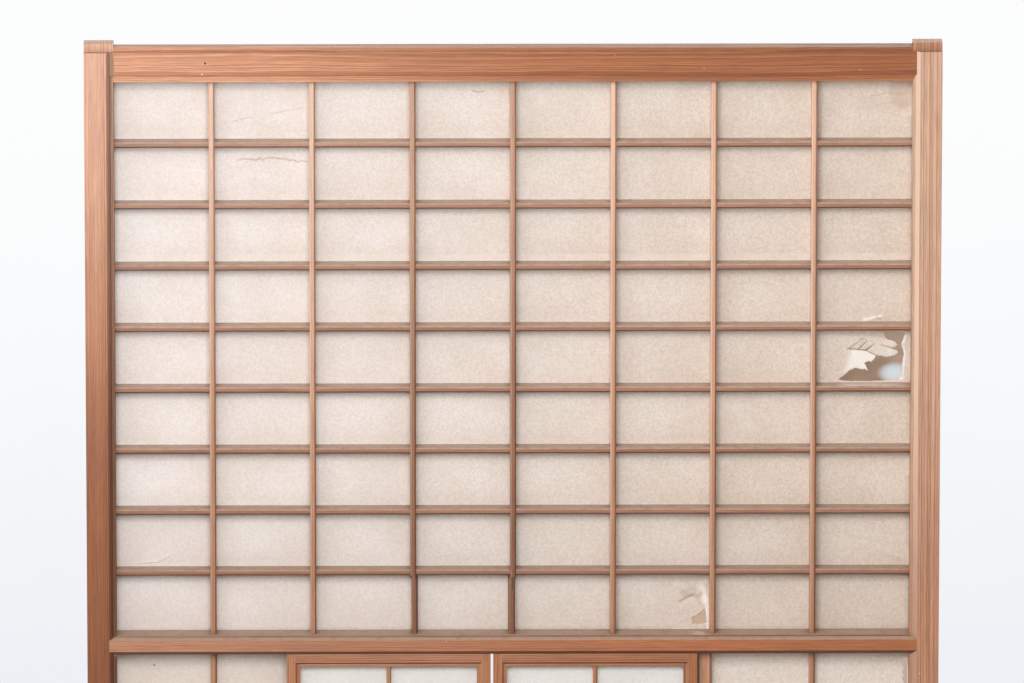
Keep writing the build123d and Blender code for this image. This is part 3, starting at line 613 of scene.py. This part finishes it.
line = calc(tree, "ABSOLUTE", calc(tree, "SUBTRACT", strand.outputs["Fac"], 0.5))
tree.links.new(ramp(tree, line, 0.03, 0.0), gives["Fibre"])
cloud = add(tree, "ShaderNodeTexNoise", {"Vector": given["Vector"], "Scale": 0.02, "Detail": 4.0})
tree.links.new(cloud.outputs["Fac"], gives["Cloud"])


PAPER_SEAM_Z = 1.529


def paper_skin(name, pale, tan, contrast=1.0, left=(1, 1, 1), right=(1, 1, 1), stains_and_painted_light=(),
               torn=False):
    """Paper with its flecks, fibres and clouded tone, tinted from its left edge to its
    right one, and spotted at places on the front, in metres, where it is stained and, in a
    few spots, given painted shade and painted highlight."""
    made, tree = new_material(name)
    place, mm = object_place(tree)
    pulp = use_group(tree, washi_fibres, {"Vector": mm})
    colour = mix_colour(tree, ramp(tree, pulp["Cloud"], 0.3, 0.7), pale, tan)
    grainy = ramp(tree, pulp["Fleck"], 0.37, 0.63)
    pulp_tone = mix_colour(tree, grainy, (1 + 0.10 * contrast,) * 3 + (1,), (
        1 - 0.10 * contrast, 1 - 0.14 * contrast, 1 - 0.19 * contrast, 1))
    parts = add(tree, "ShaderNodeSeparateXYZ", {0: place}).outputs
    coarser = ramp(tree, parts["X"], -0.42, 0.42, 0.65, 1.0)
    colour = mix_colour(tree, coarser, colour, pulp_tone, "MULTIPLY")
    colour = mix_colour(tree, calc(tree, "MULTIPLY", pulp["Fibre"], 0.3 * contrast), colour,
                        tuple(min(1, 1.12 * c) for c in pale[:3]) + (1,))
    colour = tinted(tree, colour, mix_colour(
        tree, ramp(tree, parts["X"], -0.42, 0.42), left + (1,), right + (1,)))
    off_seam = calc(tree, "ABSOLUTE", calc(tree, "SUBTRACT", parts["Z"], PAPER_SEAM_Z))
    seam = ramp(tree, off_seam, 0.0045, 0.0035)
    colour = mix_colour(tree, calc(tree, "MULTIPLY", seam, 0.25), colour, (0.86, 0.80, 0.74, 1))
    for x, z, wide, high, amount, spot_colour in stains_and_painted_light:
        spot_amount = calc(tree, "MULTIPLY", spot(tree, parts, x, z, wide, high), amount)
        colour = mix_colour(tree, spot_amount, colour, spot_colour)
    if torn:
        # Painted highlight where the torn paper turns to the light. The creases' tone gives pale
        # folds as broken fibres with painted highlight, and dark folds as painted shade.
        turned = add(tree, "ShaderNodeAttribute",
                     attribute_name="turned to the light").outputs["Fac"]
        colour = mix_colour(tree, turned, colour, (0.93, 0.91, 0.88, 1))
        tone = add(tree, "ShaderNodeAttribute", attribute_name="crease tone").outputs["Fac"]
        colour = mix_colour(tree, ramp(tree, tone, 0.5, 1.0), colour, (0.93, 0.90, 0.86, 1))
        colour = mix_colour(tree, ramp(tree, tone, 0.5, 0.0, 0.0, 0.75), colour,
                            (0.50, 0.36, 0.26, 1))
    bump = add(tree, "ShaderNodeBump", {
        "Height": calc(tree, "ADD", pulp["Fleck"], pulp["Fibre"]), "Strength": 0.35,
        "Distance": 0.0003})
    skin = add(tree, "ShaderNodeBsdfPrincipled", {
        "Base Color": colour, "Roughness": 0.85, "Normal": bump.outputs[0]})
    skin.inputs["Specular IOR Level"].default_value = 0.2
    finish_surface(tree, skin.outputs["BSDF"])
    return made


BROWN = (0.42, 0.27, 0.17, 1)
DUSTY = (0.40, 0.35, 0.31, 1)
TORN_WHITE_LIT = (0.92, 0.89, 0.86, 1)
aged_paper = paper_skin(
    "aged paper", (0.776, 0.685, 0.632, 1), (0.7275, 0.627, 0.56, 1), left=(1.05, 1.12, 1.20),
    right=(0.90, 0.905, 0.885), torn=True, stains_and_painted_light=(
        (0, 1.15, 5.0, 0.12, 0.10, DUSTY),
        (0.399, 1.704, 0.016, 0.022, 0.30, BROWN),
        (0.376, 1.688, 0.030, 0.010, 0.12, BROWN),
        (0.182, 1.1765, 0.011, 0.006, 0.26, BROWN),
        # Torn white paper at the small tear, partly a painted highlight on the strip lit beside
        # the bar.
        (0.1974, 1.1695, 0.0042, 0.0048, 0.6, TORN_WHITE_LIT),
        (0.2004, 1.151, 0.0024, 0.016, 0.7, TORN_WHITE_LIT),
        # Painted shade on the strip of paper beside the stile.
        (0.4045, 1.425, 0.0040, 0.036, 0.30, (0.50, 0.42, 0.35, 1)),
        (-0.012, 1.7005, 0.0035, 0.006, 0.35, (0.75, 0.50, 0.42, 1)),
        (0.192, 1.650, 0.012, 0.012, 0.10, BROWN)))
side_paper = paper_skin("aged side paper", (0.74, 0.67, 0.62, 1), (0.70, 0.62, 0.565, 1),
                        stains_and_painted_light=((-0.369, 1.101, 0.001, 0.001, 0.9, (0.1, 0.07, 0.05, 1)),))
dress(side_paper, "lower_paper", "left_side_paper", "right_side_paper")

# The upper sheet as it is now: creased here and there, torn open in its fifth row beside
# the stile, where a flap has curled forward, and torn at a corner of its lowest row.
SHEET_EDGE, SHEET_Z, SHEET_Y = 411.5, (1133.5, 1722.0), 14.5
GRID_HALF_WIDTH, GRID_HALF_HEIGHT, GRID_Z0 = 410, 292, 1134.5
COLUMN, ROW = 102.5, 64.0
FIRST_COLUMN_X, LOWEST_CELL_Z = -410.0, 1138.5
ROW_FIVE, STILE_EDGE = 1397.5, 407.0
LOWEST_ROW, SIXTH_BAR = 1138.0, 202.0
PAPER_THICKNESS = 0.00025
MM = 0.001

# The torn-out part, from the lower right corner of its cell. Three slits and the upper
# edge of the curled flap open from it, and one slit between two tongues of paper.
LARGE_TEAR = [
    (-25, 56), (-26, 48), (-22.5, 44.8), (-18.5, 44.3), (-15.5, 42.5), (-13, 39.5), (-15.5, 36.9),
    (-19, 36.3), (-32.5, 40.0), (-19, 35.5), (-16.5, 34.4), (-13, 33), (-12, 31.2), (-15.5, 29),
    (-19.5, 27.5), (-25.5, 26.5), (-29.5, 28), (-34.8, 28.4), (-44.5, 33.2), (-35.4, 41.4),
    (-46.1, 34.0), (-52.3, 34.9), (-42.8, 44.6), (-53.5, 35.3), (-61.6, 35.5), (-47.1, 47.1),
    (-62.5, 35.6), (-65.8, 35.0), (-56, 34.3), (-45.4, 32.5), (-36.3, 27), (-35.8, 25),
    (-40, 20.3), (-42, 21.3), (-47.5, 19.8), (-45, 15.6), (-43.5, 11), (-47, 13.2), (-50, 13),
    (-56.3, 15), (-62.5, 12.5), (-67.5, 7.8), (-73.5, 2.6), (-62, 1.6), (-42, 1.5), (-27, 2.1),
    (-16.5, 3.6), (-9.5, 4.7), (-8, 20.3), (-6.5, 30.7), (-9.5, 40), (-6.5, 47), (-4.5, 56),
]
SMALL_TEAR = [(-5, 21.5), (-3, 17.5), (-2.8, 6.5), (-11, 5.2), (-16.5, 6), (-16.8, 11.5),
              (-11.5, 14.6), (-7.5, 17.8)]

# The curled flap at the tear's left comes forward from its bend to its tip, below its
# torn top. The tongues of paper over it stand forward a little, and the strip beside the
# stile curls back. Each has its reach, how far it lifts, and how much painted highlight it
# takes where it turns to the light.
FLAP_TOP = [(-66, 34.9), (-56, 34.7), (-45.4, 33.0), (-35.5, 27.6)]
FLAP_X, FLAP_Z = (-65.8, -35.0), (2.7, 34.9)
FLAP_CURL, FLAP_STIFF, FLAP_LIGHT, FLAP_RISE = 0.48, 8.0, 0.62, 0.34
TONGUE_X, TONGUE_Z = (-60, -11.5), (25.0, 48)
TONGUE_TIP, TONGUE_ROOT, TONGUE_LIGHT, TONGUE_RISE = 4.5, 1.2, 0.25, 0.2
STRIP_EDGE = [(-4.5, 56), (-6.5, 47), (-9.5, 40), (-6.5, 30.7), (-8, 20.3), (-9.5, 4.7)]
STRIP_X, STRIP_REACH, STRIP_LIFT, STRIP_LIGHT = -11, 3.5, 1.8, 0.9
TORN_CELL_X, TORN_CELL_Z = (310, 404), (1398, 1456)

# The parts of the sheet that are taken out and filled again round the tears, from side to
# side and from below upwards.
LARGE_TEAR_AROUND = (307.5, 412), (1390.5, 1454.5)
SMALL_TEAR_AROUND = (164, 206), (1133, 1166.5)

# Creases as (points of the line, half width, depth, tone), in millimetres. The tone paints
# the fold darker below 0, as painted shade in it, and paler above 0, as pale broken fibres
# with a painted highlight on the fold.
CREASES = [
    ([(-287, 1671.6), (-277, 1674.4), (-267, 1676.6)], 0.8, -0.9, -0.3),
    ([(-247.4, 1680), (-232, 1683), (-215, 1686)], 0.8, -0.9, -0.3),
    ([(-280.4, 1631.4), (-275.3, 1632.9), (-266.8, 1632.3), (-261.8, 1631.2), (-258.4, 1633.6),
      (-255, 1631.2), (-252.4, 1633.2), (-247.4, 1634.1), (-239.7, 1633.2)], 0.75, -1.2, -0.65),
    ([(-239.7, 1633.2), (-231.3, 1632.3), (-227.9, 1630.7), (-224.5, 1631.6), (-219.4, 1629.3),
      (-216, 1631), (-210.1, 1629.5)], 0.75, -1.2, -0.65),
    ([(-262, 1628.4), (-275, 1621), (-287, 1613)], 5.0, 1.4, -0.15),
    ([(-41, 1703.3), (-36, 1701.6), (-30, 1702.3)], 0.8, -0.9, -0.9),
    ([(171.5, 1166), (180, 1170.5), (189.2, 1173.8), (194.4, 1160.6)], 2.4, 1.3, -0.35),
    ([(172.3, 1166.3), (179, 1170.5), (186, 1174.5), (188.7, 1177.5)], 0.9, 0.5, -0.45),
    ([(189.2, 1173.8), (194, 1183), (199, 1189.6)], 2.0, -1.6, 0.3),
    ([(168, 1185), (178, 1180), (189.2, 1173.8)], 3.0, -1.3, 0.2),
    ([(359.4, 1463), (368, 1465.0), (377, 1467)], 1.5, -1.6, 0.9),
    ([(372, 1467), (376.5, 1463.6)], 0.8, -0.6, -0.6),
    ([(374.8, 1224.4), (388, 1219), (400.4, 1213.1)], 2.4, -0.9, 0.25),
    ([(-380, 1209.5), (-366, 1210.5), (-358, 1213.5), (-353, 1217)], 0.9, -0.9, 0.12),
    ([(196, 1181), (198.5, 1168), (199, 1150)], 2.2, -1.0, 0.7),
    ([(185.5, 1144), (185.0, 1149.6), (190.4, 1152.8), (194.6, 1156), (197, 1160)], 0.7, 0.0,
     -0.9),
    ([(365, 1697), (382, 1700), (400, 1699)], 0.9, -0.7, -0.5),
    ([(372, 1688), (388, 1691), (398, 1686)], 0.9, -0.5, -0.4),
    ([(-300, 1480), (-268, 1474), (-236, 1480)], 4.0, 0.5, 0.0),
    ([(318, 1330), (352, 1317), (398, 1322)], 4.0, -0.5, 0.0),
    ([(150, 1600), (172, 1585), (196, 1583)], 3.0, 0.5, 0.0),
]


def off_line(x, z, line):
    """Distance of a point from a bent line."""
    least = 1e9
    for (x0, z0), (x1, z1) in zip(line, line[1:]):
        run = Vector((x1 - x0, z1 - z0))
        along = max(0.0, min(1.0, Vector((x - x0, z - z0)).dot(run) / run.length_squared))
        least = min(least, (Vector((x, z)) - Vector((x0, z0)) - along * run).length)
    return least


def below_tear_line(x, z):
    """Whether a point beside the large tear lies on the curled flap's side of it."""
    for (x0, z0), (x1, z1) in zip(FLAP_TOP, FLAP_TOP[1:]):
        if x0 <= x <= x1:
            return z < z0 + (z1 - z0) * (x - x0) / (x1 - x0)
    return False


def lifted(x, z):
    """How far the torn paper stands off the sheet in its cell, and how much painted highlight
    it takes where it turns to the light."""
    bend = -74.5 + 0.27 * z
    if FLAP_Z[0] < z < FLAP_Z[1] and bend < x < FLAP_X[1] and (
            x < FLAP_X[0] or below_tear_line(x, z)):
        run = x - bend
        return -FLAP_CURL * run * run / (run + FLAP_STIFF), smooth(run, 0.0, 10.0) * FLAP_LIGHT
    if (TONGUE_Z[0] < z < TONGUE_Z[1] and TONGUE_X[0] < x < TONGUE_X[1]
            and not below_tear_line(x, z)):
        tip = smooth(x, -52, -14)
        root = smooth(x, -62, -50) * (z < 45)
        step = 0.5 if z > 37.6 + 0.2 * (x + 19) else 0.0
        return -TONGUE_TIP * tip * tip - TONGUE_ROOT * root - step, TONGUE_LIGHT * tip
    if x > STRIP_X:
        near = max(0.0, 1 - off_line(x, z, STRIP_EDGE) / STRIP_REACH)
        return STRIP_LIFT * near * near, STRIP_LIGHT * smooth(near, 0.35, 0.7)
    return 0.0, 0.0


def sheet_relief(x, z):
    """How far the sheet stands back from the bars, slack in its cells and creased, and the
    tone of its creases."""
    column = (x - FIRST_COLUMN_X) % COLUMN
    row = (z - LOWEST_CELL_Z) % ROW
    off_upright, off_crossbar = min(column, COLUMN - column), min(row, ROW - row)
    slack = smooth(off_upright, 3.2, 22) * smooth(off_crossbar, 3.2, 18)
    relief = slack * (0.35 + 0.5 * noise.noise(Vector((x, z, 0)) * 0.021)
                      + 0.16 * noise.noise(Vector((x, z, 7)) * 0.09))
    tone = 0.0
    for line, half_width, depth, tinge in CREASES:
        away = off_line(x, z, line)
        if away < 3 * half_width:
            rise = math.exp(-(away / half_width) ** 2)
            relief += (rise * depth * smooth(off_upright, 2.6, 7)
                       * smooth(off_crossbar, 2.9, 4.6))
            tone += rise * tinge
    return relief, 0.5 + 0.5 * max(-1.0, min(1.0, tone))


def ragged(outline, corner, seed):
    """The torn outline moved to its place, with more points that waver a little, and less
    where another part of the outline comes near."""
    chance = random.Random(seed)
    points = []
    for (x0, z0), (x1, z1) in zip(outline, outline[1:] + outline[:1]):
        count = max(1, round(math.hypot(x1 - x0, z1 - z0) / 1.6))
        points += [(x0 + (x1 - x0) * i / count, z0 + (z1 - z0) * i / count) for i in range(count)]
    moved = []
    for i, (x, z) in enumerate(points):
        free = min(math.hypot(x - points[j][0], z - points[j][1]) for j in range(len(points))
                   if 2 < (i - j) % len(points) < len(points) - 2)
        waver = min(0.3, 0.15 * free)
        moved.append((corner[0] + x + chance.uniform(-waver, waver),
                      corner[1] + z + chance.uniform(-waver, waver)))
    return moved


def faces_within(bm, x_range, z_range):
    """The faces whose middle lies in a region."""
    return [f for f in bm.faces if x_range[0] < f.calc_center_median().x < x_range[1]
            and z_range[0] < f.calc_center_median().z < z_range[1]]


def tear_cell(bm, x_range, z_range, outline):
    """Takes a cell out of the sheet and fills it again round the torn outline."""
    held = set(faces_within(bm, x_range, z_range))
    around = [e for e in set(e for f in held for e in f.edges)
              if sum(other in held for other in e.link_faces) == 1]
    bmesh.ops.delete(bm, geom=list(held), context="FACES_KEEP_BOUNDARY")
    verts = [bm.verts.new((x, 0, z)) for x, z in outline]
    rim = [bm.edges.new((a, b)) for a, b in zip(verts, verts[1:] + verts[:1])]
    bmesh.ops.triangle_fill(bm, use_beauty=True, edges=around + rim, normal=(0, -1, 0))
    for longest in (12, 6, 3.6, 3.0):
        faces = set(faces_within(bm, x_range, z_range))
        edges = [e for e in set(e for f in faces for e in f.edges)
                 if e.calc_length() > longest and sum(f in faces for f in e.link_faces) == 2]
        bmesh.ops.subdivide_edges(bm, edges=edges, cuts=1)
        faces = faces_within(bm, x_range, z_range)
        bmesh.ops.triangulate(bm, faces=[f for f in faces if len(f.verts) > 3])
        faces = set(faces_within(bm, x_range, z_range))
        inner = [e for e in set(e for f in faces for e in f.edges)
                 if sum(f in faces for f in e.link_faces) == 2]
        bmesh.ops.beautify_fill(bm, faces=list(faces), edges=inner)


bm = bmesh.new()
bmesh.ops.create_grid(bm, x_segments=80, y_segments=73, size=1.0)
bmesh.ops.scale(bm, vec=(GRID_HALF_WIDTH, GRID_HALF_HEIGHT, 1), verts=bm.verts)
upright_grid = Matrix.Rotation(math.radians(90), 3, "X")
bmesh.ops.rotate(bm, cent=(0, 0, 0), matrix=upright_grid, verts=bm.verts)
bmesh.ops.translate(bm, vec=(0, 0, GRID_Z0 + GRID_HALF_HEIGHT), verts=bm.verts)
for v in bm.verts:
    if abs(v.co.x) > GRID_HALF_WIDTH - 1:
        v.co.x = math.copysign(SHEET_EDGE, v.co.x)
    if v.co.z < GRID_Z0 + 0.5:
        v.co.z = SHEET_Z[0]
    if v.co.z > GRID_Z0 + 2 * GRID_HALF_HEIGHT - 0.5:
        v.co.z = SHEET_Z[1]
creased = [f for f in bm.faces if any(
    off_line(f.calc_center_median().x, f.calc_center_median().z, line) < 3 * width + 6
    for line, width, depth, tone in CREASES)]
bmesh.ops.subdivide_edges(bm, edges=list(set(e for f in creased for e in f.edges)), cuts=4,
                          use_grid_fill=True)
fine = [f for f in bm.faces if any(
    width < 1.3 and off_line(f.calc_center_median().x, f.calc_center_median().z, line) < 2.4
    for line, width, depth, tone in CREASES)]
bmesh.ops.subdivide_edges(bm, edges=list(set(e for f in fine for e in f.edges)), cuts=2,
                          use_grid_fill=True)
large = ragged(LARGE_TEAR, (STILE_EDGE, ROW_FIVE), 5)
small = ragged(SMALL_TEAR, (SIXTH_BAR, LOWEST_ROW), 6)
tear_cell(bm, *LARGE_TEAR_AROUND, large)
tear_cell(bm, *SMALL_TEAR_AROUND, small)
lit = bm.verts.layers.float.new("turned to the light")
creased_tone = bm.verts.layers.float.new("crease tone")
for v in bm.verts:
    x, z = v.co.x, v.co.z
    off, v[creased_tone] = sheet_relief(x, z)
    if TORN_CELL_X[0] < x < TORN_CELL_X[1] and TORN_CELL_Z[0] < z < TORN_CELL_Z[1]:
        rise, turned = lifted(x - STILE_EDGE, z - ROW_FIVE)
        off += rise
        v[lit] = turned
    v.co.y = SHEET_Y + off
    if off < -0.5:
        on_flap = below_tear_line(x - STILE_EDGE, z - ROW_FIVE)
        v.co.z += (FLAP_RISE if on_flap else TONGUE_RISE) * (-off - 0.5)
bmesh.ops.recalc_face_normals(bm, faces=bm.faces)
if sum(f.normal.y for f in bm.faces) > 0:
    bmesh.ops.reverse_faces(bm, faces=bm.faces)
bmesh.ops.scale(bm, vec=(MM, MM, MM), verts=bm.verts)
for f in bm.faces:
    f.smooth = True
torn_sheet = new_piece("upper_sheet_torn", bm, aged_paper)
thick = torn_sheet.modifiers.new("paper thickness", "SOLIDIFY")
thick.thickness = PAPER_THICKNESS
thick.offset = -1.0
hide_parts("upper_paper")

# The small sliding screens, which run in the grooves of the middle rails. They are
# lighter made, of redder wood, less bleached and with less painted sheen than the rest,
# and carry whiter paper.
small_cedar_up = cedar(
    "small screen cedar, upright", "Z", (520, 120, 0), (0.48, 0.21, 0.11, 1),
    (0.28, 0.10, 0.05, 1), ring=1.8, waver=5.0, bleach_and_sheen=0.1, shade=("X", -0.12, 0.12),
    shade_high=(0.84, 0.74, 0.61))
small_cedar_across = cedar(
    "small screen cedar, across", "X", (0, 120, 500), (0.50, 0.235, 0.135, 1),
    (0.28, 0.10, 0.05, 1), ring=2.3, waver=8.0, bleach_and_sheen=0.1, lines=0.95, shade=("X", -0.12, 0.12),
    shade_high=(0.86, 0.77, 0.67))
white_paper = paper_skin("white paper", (0.74, 0.735, 0.72, 1), (0.70, 0.695, 0.68, 1), 0.5)
for side in ("left_small", "right_small"):
    dress(small_cedar_up, f"{side}_left_stile", f"{side}_right_stile", f"{side}_upright")
    dress(small_cedar_across, f"{side}_top_rail", f"{side}_bottom_rail", f"{side}_crossbars")
    dress(white_paper, f"{side}_paper")
